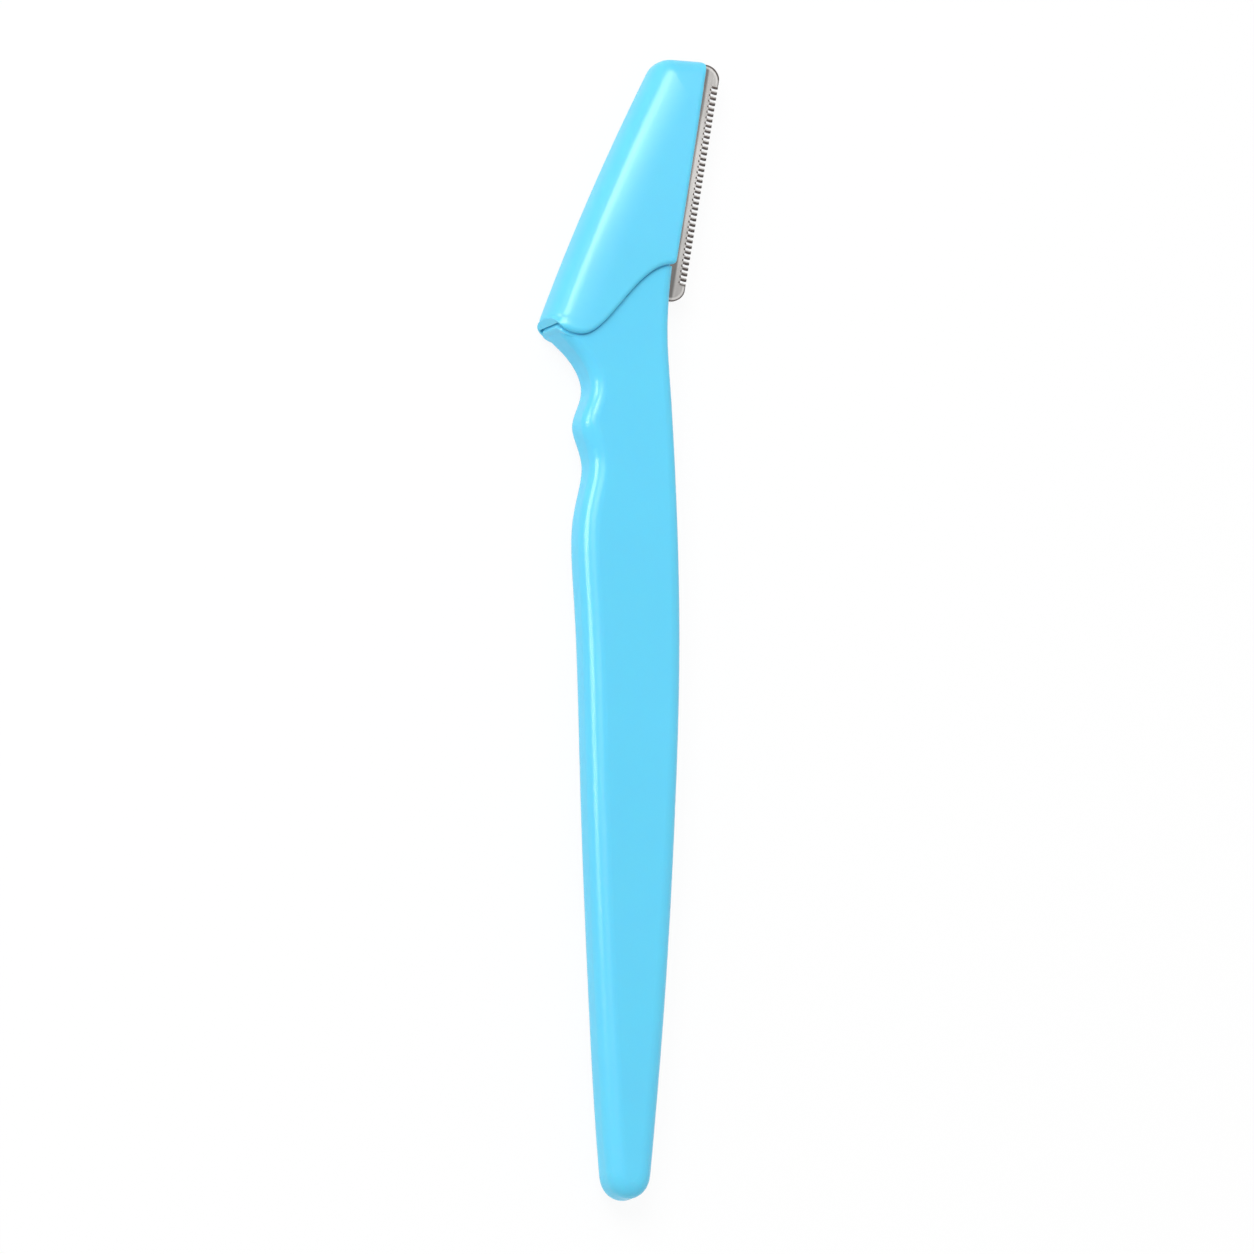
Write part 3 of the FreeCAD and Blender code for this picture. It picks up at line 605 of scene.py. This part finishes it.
# Each lamp: direction and distance from the point it is aimed at, width and height in metres, watts, and
# whether it lights the surfaces or only shows as a gleam in their gloss
lamps = {"keyBox": {"towards": (-0.42, 0.38, 0.82), "aim": (0, 0, 0), "away": 1.1,
                    "size": (0.6, 0.6), "watts": 7.2, "gleamOnly": False},
         "edgeCard": {"towards": (-0.93, 0.17, 0.31), "aim": (0, 0.08, 0), "away": 0.4,
                      "size": (0.26, 0.18), "watts": 2.6, "gleamOnly": True},
         "streakCard": {"towards": (-0.205, 0.447, 0.871), "aim": (-0.003, 0.067, 0.008), "away": 0.12,
                        "size": (0.065, 0.12), "watts": 0.56, "gleamOnly": True}}


def seenDirectly(tree):  # 1 for what the camera, a gloss or a clear material sees, 0 for scattered light
    path = tree.nodes.new("ShaderNodeLightPath").outputs
    direct = calc(tree, "MAXIMUM", path["Is Camera Ray"], path["Is Glossy Ray"])
    return calc(tree, "MAXIMUM", direct, path["Is Transmission Ray"])


def makeFloor():
    material, tree, shader = newMaterial("paleFloor")
    grain = noiseAt(tree, objectPlace(tree), stage["floorGrain"])
    shader.inputs["Base Color"].default_value = stage["floorColour"]
    put(tree, shader.inputs["Roughness"], scaled(tree, grain, stage["floorDullDepth"], stage["floorDull"]))
    white, mix = tree.nodes.new("ShaderNodeEmission"), tree.nodes.new("ShaderNodeMixShader")
    put(tree, mix.inputs["Fac"], times(tree, seenDirectly(tree), stage["whiteShare"]))
    put(tree, mix.inputs[1], shader.outputs["BSDF"])
    put(tree, mix.inputs[2], white.outputs["Emission"])
    put(tree, tree.nodes["Material Output"].inputs["Surface"], mix.outputs["Shader"])
    half = stage["floorHalf"]
    mesh = bpy.data.meshes.new("floor")
    corners = [(-half, -half, 0), (half, -half, 0), (half, half, 0), (-half, half, 0)]
    mesh.from_pydata(corners, [], [(0, 1, 2, 3)])
    mesh.materials.append(material)
    addToScene("floor", mesh)


def makeWorld():  # white where it is seen directly, dimmer as light
    world = bpy.data.worlds.new("softRoom")
    bpy.context.scene.world = world
    world.use_nodes = True
    tree = world.node_tree
    background = tree.nodes["Background"]
    background.inputs["Color"].default_value = (1.0, 1.0, 1.0, 1.0)
    light = stage["roomLight"]
    put(tree, background.inputs["Strength"], scaled(tree, seenDirectly(tree), 1 - light, light))


def placed(place, right, up, back):  # matrix of an object at a place, with its own three axes
    return Matrix.Translation(place) @ Matrix((right, up, back)).transposed().to_4x4()


def makeCamera():
    turn, rise = math.radians(view["turn"]), math.radians(view["rise"])
    right = Vector((math.cos(turn), 0, math.sin(turn)))
    up = Vector((-math.sin(turn) * math.sin(rise), math.cos(rise), math.cos(turn) * math.sin(rise)))
    back = right.cross(up)
    scale, middle = view["mmPerPixel"] * mm, view["imagePixels"] / 2
    target = Vector((datum["axisX"] * mm, 0, datum["midZ"] * mm))
    pixelX, pixelY = view["centrePixel"]
    target += right * (middle - pixelX) * scale + up * (pixelY - middle) * scale
    distance = view["lens"] / view["sensor"] * view["imagePixels"] * scale
    camera = addToScene("camera", bpy.data.cameras.new("camera"))
    camera.data.lens, camera.data.sensor_width = view["lens"], view["sensor"]
    camera.data.clip_end = view["clipEnd"]
    camera.matrix_world = placed(target + back * distance, right, up, back)
    bpy.context.scene.camera = camera


def makeLamp(name, towards, aim, away, size, watts, gleamOnly):
    lamp = addToScene(name, bpy.data.lights.new(name, "AREA"))
    lamp.data.shape = "RECTANGLE"
    lamp.data.size, lamp.data.size_y = size
    lamp.data.energy = watts
    lengthways, back = Vector((0, 1, 0)), Vector(towards).normalized()
    side = (lengthways - back * lengthways.dot(back)).normalized()  # width runs along the razor
    lamp.matrix_world = placed(Vector(aim) + back * away, side, back.cross(side), back)
    lamp.visible_diffuse = not gleamOnly
    lamp.visible_camera = False


makeFloor()
makeWorld()
makeCamera()
for lampName, values in lamps.items():
    makeLamp(lampName, **values)
bpy.context.scene.view_settings.view_transform = "Standard"
print("stage set")
